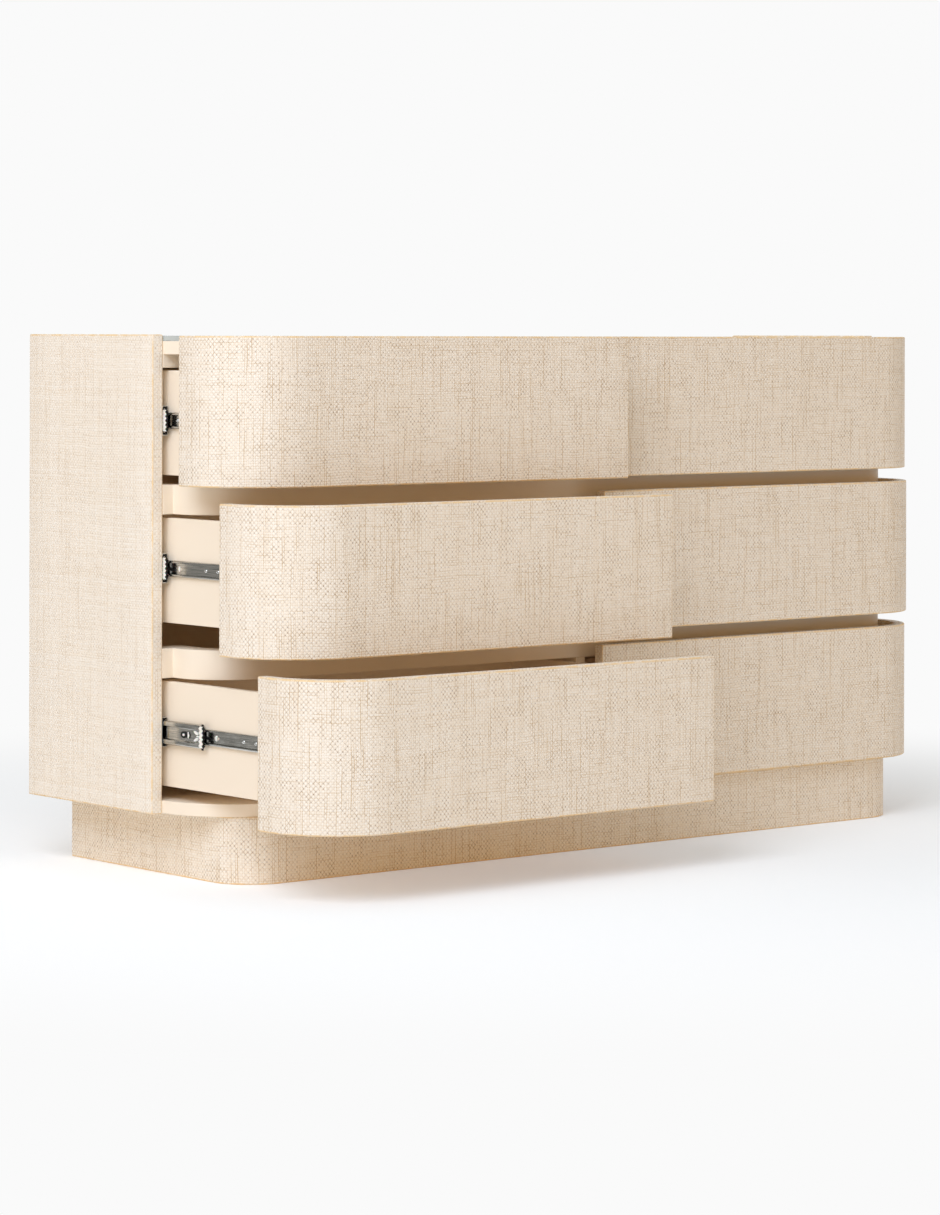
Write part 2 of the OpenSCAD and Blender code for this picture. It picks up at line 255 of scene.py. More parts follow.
def patchy_cane_and_shade(tree, place, number, weave_contrast):
    """How much of the brown cane and painted shade shows: more in some patches 50 mm wide, and by chance
    from thread to thread."""
    patch = add(tree, "TexNoise", {"Vector": place, "Scale": 0.02, "Detail": 3.0}, noise_dimensions="2D")
    bare = add(tree, "MapRange", {0: patch, 1: 0.36, 2: 0.64, 3: 0.55 * weave_contrast, 4: weave_contrast})
    chance = add(tree, "TexWhiteNoise", {"Vector": number}, noise_dimensions="2D")
    chance = add(tree, "MapRange", {0: chance, 3: 0.15, 4: 1.0})
    return add(tree, "Math", {0: bare, 1: chance}, operation="MULTIPLY")


def painted_arris_highlight(tree, place):
    """A painted gold highlight on the arrises, which the mesh marks with 1. Noise 17 mm wide makes it
    stronger in some places than in others.
    """
    highlight_spread = add(tree, "TexNoise", {"Vector": place, "Scale": 0.06, "Detail": 3.0}, noise_dimensions="2D")
    highlight_spread = add(tree, "MapRange", {0: highlight_spread, 1: 0.35, 2: 0.6, 3: 0.3, 4: 0.95})
    arris = add(tree, "Attribute", attribute_name="arris", out="Fac")
    return add(tree, "Math", {0: arris, 1: highlight_spread}, operation="MULTIPLY")


print("gaps, cane, wear and arrises")


# %% Raffia
def lacquered_raffia(tree, weave_contrast):
    """Cream threads, over them tan gaps, then brown cane with painted shade in the weave's hollows, then a
    painted gold highlight on the arrises. weave_contrast scales how much of the gaps, cane and shade shows,
    from 0 to 1."""
    uv = add(tree, "UVMap", uv_map="cloth")
    place = add(tree, "VectorMath", {0: uv, "Scale": 1000.0}, operation="SCALE")
    threads = woven_threads(tree, place)
    number = add(tree, "VectorMath", {0: threads}, operation="FLOOR")
    edge = across_threads(tree, threads)
    edges = add(tree, "SeparateXYZ", {0: edge}, out=None)
    narrow = add(tree, "VectorMath", {0: edge, 1: edge}, operation="MULTIPLY")
    narrows = add(tree, "SeparateXYZ", {0: narrow}, out=None)
    weave = plain_weave(tree, threads)
    dip = add(tree, "Math", {0: weave, 1: -1.0}, operation="MULTIPLY")
    gaps = gap_noise(tree, place, threads)

    warp_line = gap_line(tree, gaps[0], edges[0], narrows[0], (0.48, 0.7, 0.3 * weave_contrast, 0.9 * weave_contrast),
                         (0.6, 0.75, 0.0, 0.35 * weave_contrast))
    weft_line = gap_line(tree, gaps[1], edges[1], narrows[1], (0.5, 0.72, 0.32 * weave_contrast, 0.75 * weave_contrast),
                         (0.63, 0.78, 0.0, 0.12 * weave_contrast))
    line = add(tree, "Math", {0: warp_line, 1: weft_line}, operation="ADD", use_clamp=True)
    # cane holds the brown of the cane and the painted shade in the weave's hollows
    cane = add(tree, "Math", {0: cane_and_hollow_shade(tree, dip, narrows, gaps),
                              1: patchy_cane_and_shade(tree, place, number, weave_contrast)}, operation="MULTIPLY")

    colour = thread_cream(tree, number, weave)
    # The brown is partly painted shade in the weave's hollows, and the gold is a painted highlight on the
    # arrises.
    for cover, hexa in ((line, "#c8ad84"), (cane, "#7a5528"), (painted_arris_highlight(tree, place), "#f2d5a4")):
        colour = add(tree, "Mix", {"Factor": cover, "A": colour, "B": linear(hexa)}, data_type="RGBA", out=2)
    height = weave_height(tree, weave, dip, edges)
    bump = add(tree, "Bump", {"Height": height, "Distance": 0.00025, "Strength": 1.0})
    return add(tree, "BsdfPrincipled", {"Base Color": colour, "Normal": bump, "Roughness": 0.5, "IOR": 1.5})


RAFFIA = new_material("lacquered raffia cloth", lacquered_raffia, 1.0)
# The side panels face the lamp squarely, so their cloth takes less painted shade.
SQUARELY_LIT_RAFFIA = new_material("raffia cloth with less painted shade", lacquered_raffia, 0.55)
print(RAFFIA.name, len(RAFFIA.node_tree.nodes), "nodes")

# %% [markdown]
# ## Satin paint
# The boards inside are MDF, sprayed with a satin cream lacquer paint, which is even in colour. A flat colour
# would do from afar, but two things give paint away in close view, so both are here: a very fine orange peel
# in the reflections, and a faint drift of tone from coat to coat.

# %% Paint
def satin_paint(tree):
    """Noise of two sizes: 0.5 m drift for the tone and 2.5 mm orange peel for the bump."""
    place = add(tree, "TexCoord", out="Object")
    drift = add(tree, "TexNoise", {"Vector": place, "Scale": 2.0, "Detail": 2.0})
    colour = add(tree, "Mix", {"Factor": drift, "A": linear("#f7ebda"), "B": linear("#f9efde")},
                 data_type="RGBA", out=2)
    peel = add(tree, "TexNoise", {"Vector": place, "Scale": 400.0, "Detail": 1.0})
    bump = add(tree, "Bump", {"Height": peel, "Distance": 0.00003, "Strength": 0.6})
    return add(tree, "BsdfPrincipled", {"Base Color": colour, "Normal": bump, "Roughness": 0.42, "IOR": 1.5})


PAINT = new_material("satin paint on MDF", satin_paint)
print(PAINT.name)

# %% [markdown]
# ## Bare poplar
# The ribs that join each front to its box, and the stretcher in the plinth, are bare sawn poplar: pale, with
# a soft grain along the board and no lacquer. Rings round a heart could give the grain, but stretched noise
# is enough in the dark of a gap.

# %% Wood
def sawn_poplar(tree):
    """Grain is noise that is stretched thirty times along the board: 60 mm one way, 2 mm the other."""
    place = add(tree, "TexCoord", out="Object")
    stretched = add(tree, "VectorMath", {0: place, 1: (16.0, 480.0, 480.0)}, operation="MULTIPLY")
    grain = add(tree, "TexNoise", {"Vector": stretched, "Scale": 1.0, "Detail": 4.0, "Roughness": 0.6})
    colour = add(tree, "Mix", {"Factor": grain, "A": linear("#b08a5c"), "B": linear("#e0c59c")},
                 data_type="RGBA", out=2)
    bump = add(tree, "Bump", {"Height": grain, "Distance": 0.00015, "Strength": 0.7})
    return add(tree, "BsdfPrincipled", {"Base Color": colour, "Normal": bump, "Roughness": 0.68, "IOR": 1.5})


POPLAR = new_material("sawn poplar", sawn_poplar)
print(POPLAR.name)

# %% [markdown]
# ## Zinc-plated steel
# The slides are rolled from steel strip and plated with bright zinc. Rolling leaves faint lines along the
# member, and plating leaves a soft cloudiness, so the shine is bright but not a mirror's. An even roughness
# would look like chrome, so clouds change it.

# %% Zinc
def zinc_plated_steel(tree):
    """Metal with roughness 0.12 to 0.24 from 20 mm clouds, and rolling lines 0.7 mm apart along y."""
    place = add(tree, "TexCoord", out="Object")
    cloud = add(tree, "TexNoise", {"Vector": place, "Scale": 50.0, "Detail": 3.0})
    rough = add(tree, "MapRange", {0: cloud, 1: 0.3, 2: 0.7, 3: 0.12, 4: 0.24})
    rolled = add(tree, "VectorMath", {0: place, 1: (1500.0, 25.0, 1500.0)}, operation="MULTIPLY")
    lines = add(tree, "TexNoise", {"Vector": rolled, "Scale": 1.0, "Detail": 2.0})
    bump = add(tree, "Bump", {"Height": lines, "Distance": 0.00002, "Strength": 0.5})
    streak = add(tree, "MapRange", {0: lines, 1: 0.35, 2: 0.65})
    colour = add(tree, "Mix", {"Factor": streak, "A": linear("#a9aaa8"), "B": linear("#dddcd8")},
                 data_type="RGBA", out=2)
    return add(tree, "BsdfPrincipled", {"Base Color": colour, "Roughness": rough, "Normal": bump,
                                        "Metallic": 1.0})


ZINC = new_material("bright zinc-plated steel", zinc_plated_steel)
print(ZINC.name)

# %% [markdown]
# ## Tempered glass
# A sheet of clear float glass lies on the top board. Seen edge on it is grey green, because the light there
# has crossed much more of the glass. Absorption could give that, but it needs many samples, so the ground
# edge is painted an opaque grey green instead: painted light, standing in for what the glass does to light.

# %% Glass
def tempered_glass(tree):
    """Clear glass, IOR 1.5, with a slight tint; noise only in the roughness, as on a wiped surface."""
    place = add(tree, "TexCoord", out="Object")
    wiped = add(tree, "TexNoise", {"Vector": place, "Scale": 9.0, "Detail": 3.0})
    rough = add(tree, "MapRange", {0: wiped, 1: 0.4, 2: 0.7, 3: 0.0, 4: 0.03})
    return add(tree, "BsdfPrincipled", {"Base Color": linear("#f4f8f6"), "Roughness": rough,
                                        "Transmission Weight": 1.0, "IOR": 1.5})


def painted_glass_edge(tree):
    """The edge is ground and polished; its opaque grey green paints the light trapped in the sheet that
    scatters out.
    """
    place = add(tree, "TexCoord", out="Object")
    ground = add(tree, "TexNoise", {"Vector": place, "Scale": 60.0, "Detail": 2.0})
    colour = add(tree, "Mix", {"Factor": ground, "A": linear("#b4bdbd"), "B": linear("#c6cdcc")},
                 data_type="RGBA", out=2)
    return add(tree, "BsdfPrincipled", {"Base Color": colour, "Roughness": 0.18, "IOR": 1.5})


GLASS = new_material("clear tempered glass", tempered_glass)
GLASS_EDGE_PAINTED_LIGHT = new_material("tempered glass edge with painted light", painted_glass_edge)
print(GLASS.name, "and", GLASS_EDGE_PAINTED_LIGHT.name)

# %% [markdown]
# ## A wrapped board
# Every wrapped piece is a board with rounded arrises whose section is carried along a line in plan:
# straight for a side panel, straight and bent for a drawer front, all the way round for the plinth. A Curve
# object with a bevel object could do this too, but it gives no control over the cloth's UV map. So the
# surface is worked out here: a grid of points, one row for each place along the line, one column for each
# place round the section.

# %% Section of a board
QUARTER_POINTS = 5                  # on each rounded arris
CORNER_POINTS = QUARTER_POINTS + 2  # with one more on the flat at either end
CORNER_FLAT = 0.001


def board_section(thickness, height, radius):
    """Rounded rectangle in (depth from the outer face, height). A corner is its centre plus the radius times
    (cos, sin) of a quarter turn; a point close beside each end of it keeps the flats flat when shaded."""
    turn = np.linspace(0, math.pi / 2, QUARTER_POINTS) + np.arange(4)[:, None] * math.pi / 2
    far, high = thickness - radius, height - radius
    centre = np.array([(far, high), (radius, high), (radius, radius), (far, radius)])[:, None]
    quarter = centre + radius * np.stack([np.cos(turn), np.sin(turn)], 2)
    beside = np.stack([-np.sin(turn[:, [0, -1]]), np.cos(turn[:, [0, -1]])], 2) * CORNER_FLAT
    corner = np.concatenate([quarter[:, :1] - beside[:, :1], quarter, quarter[:, -1:] + beside[:, 1:]], 1)
    return corner.reshape(-1, 2)


print("points round a 19 mm board", len(board_section(0.019, 0.223, 0.002)))


# %% Meshes and pieces
WRAPPED_SHARP = 35  # degrees


def finish_mesh(mesh, sharp=WRAPPED_SHARP):
    """Faces outwards, smooth but for edges sharper than the angle given."""
    shape = bmesh.new()
    shape.from_mesh(mesh)
    bmesh.ops.recalc_face_normals(shape, faces=shape.faces)
    shape.to_mesh(mesh)
    shape.free()
    mesh.shade_smooth()
    mesh.set_sharp_from_angle(angle=math.radians(sharp))


def place_piece(name, mesh, material, body, replaced=()):
    """An object that rides on its body and stands for the CAD nodes it replaces."""
    piece = new_object(name, mesh)
    mesh.materials.append(material)
    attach(piece, body)
    if replaced:
        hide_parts(*replaced)
    return piece


def grid_piece(name, points, cloth, ends, material, body, replaced):
    """points[i, j] is the surface at step i along the piece and step j round its section, which closes on
    itself. cloth holds the UV of the same grid with one more step round. ends is "capped" or "joined"."""
    rows, columns = points.shape[:2]
    number = np.arange(rows * columns).reshape(rows, columns)
    here = number if ends == "joined" else number[:-1]
    there = np.roll(number, -1, 0) if ends == "joined" else number[1:]
    quads = np.stack([here, np.roll(here, -1, 1), np.roll(there, -1, 1), there], 2).reshape(-1, 4)
    a, b = cloth[:-1], cloth[1:]
    corners = np.stack([a[:, :-1], a[:, 1:], b[:, 1:], b[:, :-1]], 2).reshape(-1, 2)
    faces = quads.tolist()
    if ends == "capped":
        faces += [number[0].tolist(), number[-1].tolist()]
        flat = points - points[0, 0]
        for row in (0, -1):
            across = np.linalg.norm(flat[row, :, :2] - flat[row, 0, :2], axis=1)
            cap = np.stack([across, flat[row, :, 2]], 1)
            corners = np.concatenate([corners, cap + cloth[row, 0]])
    mesh = bpy.data.meshes.new(name)
    mesh.from_pydata(points.reshape(-1, 3).tolist(), [], faces)
    mesh.uv_layers.new(name="cloth").data.foreach_set("uv", corners.astype(np.float32).ravel())
    finish_mesh(mesh)
    return place_piece(name, mesh, material, body, replaced)


print("edges sharper than", WRAPPED_SHARP, "degrees stay sharp")

# %% Board carried along a line
ARRIS = 0.002  # radius of a wrapped board's arrises


def distances(points):
    """Running length along a line of points."""
    return np.concatenate([[0], np.cumsum(np.linalg.norm(np.diff(points, axis=0), axis=1))])


def rounded_ends(line, inward):
    """Each end becomes steps that go forward as 1 - sin, and the section shrinks there as 1 - cos, by the
    arris in all. Returns the line, its inward directions and the shrinking."""
    turn = np.linspace(math.pi / 2, 0, QUARTER_POINTS)
    onwards = (1 - np.sin(turn))[:, None]
    start, end = line[1] - line[0], line[-2] - line[-1]
    first = line[0] + start / np.linalg.norm(start) * ARRIS * onwards
    last = line[-1] + end / np.linalg.norm(end) * ARRIS * onwards
    line = np.concatenate([first, line[1:-1], last[::-1]])
    inward = np.concatenate([np.repeat(inward[:1], QUARTER_POINTS, 0), inward[1:-1],
                             np.repeat(inward[-1:], QUARTER_POINTS, 0)])
    shrink = ARRIS * (1 - np.cos(turn))
    between = np.zeros(len(line) - 2 * QUARTER_POINTS)
    return line, inward, np.concatenate([shrink, between, shrink[::-1]])


def mark_arrises(piece, rows, columns, ends):
    """An attribute that is 1 on the quarter turns of the section and of the ends, where a gold highlight is
    painted, and 0 on the flats."""
    arris = np.zeros((rows, columns), np.float32)
    place = np.arange(columns) % CORNER_POINTS
    arris[:, (place > 0) & (place <= QUARTER_POINTS)] = 1
    if ends == "capped":
        arris[1:QUARTER_POINTS - 1] = arris[1 - QUARTER_POINTS:-1] = 1
        arris[[0, -1]] = 0
    piece.data.attributes.new("arris", "FLOAT", "POINT").data.foreach_set("value", arris.ravel())


def wrapped_board(name, body, line, inward, heights, thickness, ends, shift, material=RAFFIA):
    """Point (i, j) is line[i] + inward[i] times the section's depth, and up by its height, once the section
    has shrunk about its middle. shift moves the weave, so that no two boards have the same cloth."""
    low, high = heights
    section = board_section(thickness, high - low, ARRIS)
    middle = np.array([thickness / 2, (high - low) / 2])
    shrink = np.zeros(len(line))
    if ends == "capped":
        line, inward, shrink = rounded_ends(line, inward)
    shape = middle + (section - middle) * (1 - shrink[:, None, None] / middle)
    points = np.empty((*shape.shape[:2], 3))
    points[..., :2] = line[:, None] + inward[:, None] * shape[..., :1]
    points[..., 2] = low + shape[..., 1]
    run = distances(np.concatenate([line, line[:1]]) if ends == "joined" else line)
    girth = distances(np.concatenate([section, section[:1]]))
    cloth = np.stack(np.broadcast_arrays(run[:, None], girth[None]), 2) + np.array(shift)
    piece = grid_piece(name, points, cloth, ends, material, body, [name.removesuffix("_wrapped")])
    mark_arrises(piece, *points.shape[:2], ends)
    return piece


print("arris radius", ARRIS * 1000, "mm")

# %% Lines in plan
FLAT_STEP = 0.06  # along a straight
BEND_STEPS = 32   # in a quarter circle


def short_steps(start, end, step):
    """Points on the straight from start to end, no further apart than step."""
    count = max(3, math.ceil(np.linalg.norm(np.subtract(end, start)) / step))
    return np.linspace(start, end, count + 1)


def bent_line(start, end, radius, end_step):
    """From start straight along x, round a quarter circle, and straight along y to the end. The circle's
    centre lies inside the corner by the radius both ways, and its outward normal is (hand sin t, -cos t).
    Returns the points and their inward normals."""
    hand = math.copysign(1, end[0] - start[0])
    turn = np.linspace(0, math.pi / 2, BEND_STEPS + 1)
    outwards = np.stack([hand * np.sin(turn), -np.cos(turn)], 1)
    bend = np.array([end[0] - hand * radius, start[1] + radius]) + radius * outwards
    first = short_steps(start, bend[0], FLAT_STEP)[:-1]
    last = short_steps(bend[-1], end, end_step)[1:]
    normals = np.concatenate([np.repeat(outwards[:1], len(first), 0), outwards,
                              np.repeat(outwards[-1:], len(last), 0)])
    return np.concatenate([first, bend, last]), -normals


print("a bend has a point every", round(90 / BEND_STEPS, 1), "degrees")

# %% [markdown]
# ## Side panels
# A side panel is one straight board 19 mm thick. In the photograph it looks smoother than the fronts,
# because the lamp falls squarely on it and lights the weave's hollows. A pattern with fewer threads would
# look coarse, so it has the same weave with less cane and less painted shade: a more brightly lit copy of
# the fronts' cloth.

# %% Side panels
SIDE_SHIFT = 1.7  # metres, so that the two sides' cloths differ

for side, hand in (("left", -1), ("right", 1)):
    lo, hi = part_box(f"side_{side}")
    outer = lo.x if hand < 0 else hi.x
    line = short_steps((outer, lo.y), (outer, hi.y), FLAT_STEP)
    inward = np.tile((-hand, 0.0), (len(line), 1))
    board = wrapped_board(f"side_{side}_wrapped", "case", line, inward, (lo.z, hi.z), hi.x - lo.x, "capped",
                          (0.0, hand * SIDE_SHIFT), SQUARELY_LIT_RAFFIA)
    print(board.name, len(board.data.polygons), "faces")

# %% [markdown]
# ## Drawer fronts
# Each front runs straight from the middle of the chest, turns a quarter circle of 126 mm radius round the
# corner, and goes on a short way towards the side panel. A Bevel modifier could round the corner of a plain
# box, but the cloth would be cut there.

# %% Drawer fronts
DRAWERS = list(product(("bottom", "middle", "top"), ("left", "right")))
FRONT_RADIUS = 0.126
FRONT_THICK = 0.019
RETURN_STEP = 0.01  # along the short straight beside the side panel
FRONT_SHIFT = np.array((1.3, 0.77))

for count, (row, side) in enumerate(DRAWERS):
    lo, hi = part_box(f"{row}_{side}_front")
    inner, outer = (hi.x, lo.x) if side == "left" else (lo.x, hi.x)
    line, inward = bent_line((inner, lo.y), (outer, hi.y), FRONT_RADIUS, RETURN_STEP)
    front = wrapped_board(f"{row}_{side}_front_wrapped", f"{row}_{side}_drawer", line, inward, (lo.z, hi.z),
                          FRONT_THICK, "capped", FRONT_SHIFT * count)
    print(front.name, len(front.data.polygons), "faces")

# %% [markdown]
# ## Plinth
# The plinth is a frame of boards, round at the two front corners and mitred at the back, and the cloth goes
# all the way round it. It could be four boards, but one closed line needs no ends: the right half is a bent
# line like a drawer front's, the left half is its mirror image, and the back joins them.

# %% Plinth
PLINTH_THICK = 0.019
PLINTH_RADIUS = 0.073
PLINTH_SHIFT = (9.1, 4.4)

lo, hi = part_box("plinth")
right_line, right_in = bent_line(((lo.x + hi.x) / 2, lo.y), (hi.x, hi.y), PLINTH_RADIUS, FLAT_STEP)
right_in[-1] = (-1.0, -1.0)  # the mitre at the rear corner reaches both inner faces
mirror = np.array([-1.0, 1.0])
middle_x = np.array([lo.x + hi.x, 0])
back_line = short_steps((hi.x, hi.y), (lo.x, hi.y), FLAT_STEP)[1:-1]
line = np.concatenate([right_line, back_line, middle_x + right_line[:0:-1] * mirror])
inward = np.concatenate([right_in, np.tile((0.0, -1.0), (len(back_line), 1)), right_in[:0:-1] * mirror])
plinth = wrapped_board("plinth_wrapped", "case", line, inward, (lo.z, hi.z), PLINTH_THICK, "joined",
                       PLINTH_SHIFT)
print(plinth.name, len(plinth.data.polygons), "faces")

# %% [markdown]
# ## Painted boards, ribs and glass
# The boards inside have the right shape in the CAD model, but arrises as sharp as a knife. A real board is
# sanded before it is painted, and the light catches that line. Each could be drawn afresh, but it is quicker
# to copy it, merge its loose triangles and ease the arrises with a Bevel modifier. The copy then stands for
# the CAD node. The glass's underside is raised by 0.1 mm, off the board's plane.

# %% Eased copies
EASED_SHARP = 30  # degrees
SAME_PLACE = 1e-6
FLAT_ENOUGH = math.radians(0.2)


def eased(node, width, material, lift=0.0):
    """A merged copy of a CAD node, its sharp edges rounded to the width. lift raises its underside."""
    source = frame["nodes"][node]
    shape = bmesh.new()
    shape.from_mesh(source.data)
    bmesh.ops.remove_doubles(shape, verts=shape.verts, dist=SAME_PLACE)
    bmesh.ops.dissolve_limit(shape, angle_limit=FLAT_ENOUGH, verts=shape.verts, edges=shape.edges)
    if lift:
        low = min(v.co.z for v in shape.verts) + 10 * SAME_PLACE
        bmesh.ops.translate(shape, verts=[v for v in shape.verts if v.co.z < low], vec=(0, 0, lift))
    mesh = bpy.data.meshes.new(node + "_eased")
    shape.to_mesh(mesh)
    shape.free()
    finish_mesh(mesh, EASED_SHARP)
    piece = place_piece(node + "_eased", mesh, material, source["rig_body"], [node])
    bevel = piece.modifiers.new("eased arrises", "BEVEL")
    bevel.width = width
    bevel.segments = 3
    bevel.limit_method = "ANGLE"
    bevel.angle_limit = math.radians(EASED_SHARP)
    bevel.harden_normals = True
    return piece


CASE_BOARDS = ("top_board", "bottom_board", "divider", "back_panel", "upper_rail", "lower_rail", "top_rail")
for node in CASE_BOARDS:
    eased(node, 0.001, PAINT)
eased("plinth_stretcher", 0.0015, POPLAR)
glass = eased("glass_top", 0.0008, GLASS, lift=0.0001)
for row, side in DRAWERS:
    for board in ("box_sides", "box_ends", "box_base"):
        eased(f"{row}_{side}_{board}", 0.0008, PAINT)
    eased(f"{row}_{side}_front_ribs", 0.001, POPLAR)

# %% Glass top
glass.visible_shadow = False  # clear glass lets the lamp through to the top board
# The glass's edges take the painted grey green.
glass.data.materials.append(GLASS_EDGE_PAINTED_LIGHT)
normals = np.empty(3 * len(glass.data.polygons))
glass.data.polygons.foreach_get("normal", normals)
on_edge = (abs(normals[2::3]) < 0.5).astype(np.int32)
glass.data.polygons.foreach_set("material_index", on_edge)
print("ground edge on", on_edge.sum(), "faces of the glass")

# %% [markdown]
# ## Slides
# The slides' channels could be drawn afresh too, but their CAD meshes have the real section, so they only
# take the zinc finish.

# %% Finish of the CAD slides
rolled = [piece for node, piece in frame["nodes"].items() if "slides" in node or "runners" in node]
for piece in rolled:
    piece.data.materials.clear()
    piece.data.materials.append(ZINC)
print("zinc on", len(rolled), "nodes")

# %% [markdown]
# ## Small parts of the slides
# A ball-bearing slide is more than three channels. Steel balls sit in black acetal cages between the
# members, a moulded stop with white teeth closes the front end of the middle member, a lever on the runner
# lets the drawer be lifted out, and screws hold the runner to the box. The stop's black is partly painted
# shadow in the gap there, and the white of the nylon parts is partly painted glints of the zinc. Each could
# be cut from a block with Boolean modifiers. Here it is a set of rings joined with faces, which suits turned
# parts (rings of changing radius) and moulded plates (one outline at several depths). u is the depth from
# the wall that carries the slide towards the box, d the distance behind the front end of a member, and z
# the height above the slide's middle line.

# %% Plastics
def moulded_acetal(tree):
    """Black, with the fine grain of a spark-eroded mould: 1 mm noise in the bump and the roughness."""
    place = add(tree, "TexCoord", out="Object")
    grain = add(tree, "TexNoise", {"Vector": place, "Scale": 1000.0, "Detail": 2.0})
    rough = add(tree, "MapRange", {0: grain, 1: 0.3, 2: 0.7, 3: 0.3, 4: 0.45})
    colour = add(tree, "Mix", {"Factor": grain, "A": linear("#121212"), "B": linear("#1e1d1c")},
                 data_type="RGBA", out=2)
    bump = add(tree, "Bump", {"Height": grain, "Distance": 0.00002, "Strength": 0.5})
    return add(tree, "BsdfPrincipled", {"Base Color": colour, "Roughness": rough, "Normal": bump,
                                        "IOR": 1.48, "Specular IOR Level": 0.2})


def glint_white_nylon(tree):
    """Natural nylon is milky white and lets a little light in; 2 mm flow clouds in its tone. Its white
    also paints glints of the zinc round it.
    """
    place = add(tree, "TexCoord", out="Object")
    cloud = add(tree, "TexNoise", {"Vector": place, "Scale": 500.0, "Detail": 2.0})
    rough = add(tree, "MapRange", {0: cloud, 1: 0.3, 2: 0.7, 3: 0.28, 4: 0.4})
    colour = add(tree, "Mix", {"Factor": cloud, "A": linear("#f1f2ee"), "B": linear("#fbfbf8")},
                 data_type="RGBA", out=2)
    return add(tree, "BsdfPrincipled", {"Base Color": colour, "Roughness": rough, "IOR": 1.53,
                                        "Subsurface Weight": 0.2, "Subsurface Scale": 0.0005})


ACETAL = new_material("black moulded acetal", moulded_acetal)
NYLON_AND_GLINTS = new_material("white nylon with painted zinc glints", glint_white_nylon)
print(ACETAL.name, "and", NYLON_AND_GLINTS.name)


# %% Shapes made of rings
def turned(profile, columns=16, lobes=0.0):
    """A part turned about the u axis from (radius, u) pairs: (u, r cos t, r sin t). Lobes give the ring four
    leaves, as in a cross recess: the radius times 1 + lobes cos 4t. Millimetres."""
    profile = np.array(profile, float)
    t = np.arange(columns) * 2 * math.pi / columns
    leaves = np.broadcast_to(np.reshape(lobes, (-1, 1)), (len(profile), 1))
    radius = profile[:, :1] * (1 + leaves * np.cos(4 * t))
    return np.stack([np.repeat(profile[:, 1:], columns, 1), radius * np.cos(t), radius * np.sin(t)], 2)


def plate(outline, base, face, ease=0.2):
    """The outline (d, z) at the base's depth, at the face's, and once more there, drawn in by the ease: each
    point goes inwards along the mean of its two edges' normals."""
    outline = np.array(outline, float)
    before, after = outline - np.roll(outline, 1, 0), np.roll(outline, -1, 0) - outline
    along = before / np.linalg.norm(before, axis=1)[:, None] + after / np.linalg.norm(after, axis=1)[:, None]
    area = np.sum(outline[:, 0] * np.roll(outline[:, 1], -1) - outline[:, 1] * np.roll(outline[:, 0], -1))
    inward = np.sign(area) * np.stack([-along[:, 1], along[:, 0]], 1) / 2
    step = math.copysign(ease, base - face)
    loops = [(base, outline), (face + step, outline), (face, outline + inward * ease)]
    return np.stack([np.concatenate([np.full((len(o), 1), u), o], 1) for u, o in loops])


def moved(shape, places):
    """Copies of one shape, each moved by its own (u, d, z)."""
    return shape[None] + np.array(places, float)[:, None, None]


def ring_mesh(name, points):
    """points[k, i, j] is place j round ring i of copy k. Quads join neighbouring rings and a face closes
    each end of each copy."""
    copies, rows, columns = points.shape[:3]
    number = np.arange(copies * rows * columns).reshape(copies, rows, columns)
    here, there = number[:, :-1], number[:, 1:]
    quads = np.stack([here, np.roll(here, -1, 2), np.roll(there, -1, 2), there], 3).reshape(-1, 4)
    caps = np.concatenate([number[:, 0], number[:, -1]])
    mesh = bpy.data.meshes.new(name)
    mesh.from_pydata(points.reshape(-1, 3).tolist(), [], quads.tolist() + caps.tolist())
    finish_mesh(mesh)
    return mesh


print("a disc has", turned([(3.4, 0), (3.4, 1)]).shape[:2], "rings and points")


# %% Parts on both slides of a drawer
def on_slides(name, rings, front, middle, column, material, body):
    """One set of rings goes on the side panel's slide, its mirror image on the divider's. front is the y of
    the member's front end and middle the z of the slide's middle line, in metres."""
    lo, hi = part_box(f"fixed_slides_{column}")
    u, d, z = np.moveaxis(rings / 1000, -1, 0)
    sets = [np.stack([wall + way * u, front + d, middle + z], -1) for wall, way in ((lo.x, 1), (hi.x, -1))]
    return place_piece(name, ring_mesh(name, np.concatenate(sets)), material, body)


# %% Screws
RUNNER_WEB = 11.5   # depths in mm of the faces that the parts lie on: the runner's web,
BAND_FACE = 2.2     # the band along the middle member's front part,
PRESSED_FACE = 5.4  # and its pressed middle
SCREW_PLACES = (16, 41, 71, 190, 262)

PAN_HEAD = turned([(3.4, RUNNER_WEB), (3.3, 11.0), (2.9, 10.4), (2.3, 9.95), (1.6, 9.65), (1.1, 9.6),
                   (0.7, 10.2), (0.2, 10.4)], 24, [0, 0, 0, 0, 0, 0.3, 0.4, 0.4])
RUNNER_SCREWS = moved(PAN_HEAD, [(0, d, 0) for d in SCREW_PLACES])
print(len(RUNNER_SCREWS), "screws on a runner")

# %% Balls and cages
BALL_PITCH = 7.0
BALL_COUNT = 6
CAGE_SIDES = 16
INNER_RACE = (7.8, 14.4)  # depth, and height above and below the middle line
OUTER_RACE = (5.6, 19.5)

bow = np.linspace(-math.pi / 2, math.pi / 2, 9)[1:-1]
BALL = turned(np.stack([1.6 * np.cos(bow), 1.6 * np.sin(bow)], 1), 10)


def ball_rows(u, height):
    """One row of balls in the raceway above the member and one below."""
    along = 6 + BALL_PITCH * np.arange(BALL_COUNT)
    return moved(BALL, [(u, d, z) for z in (height, -height) for d in along])


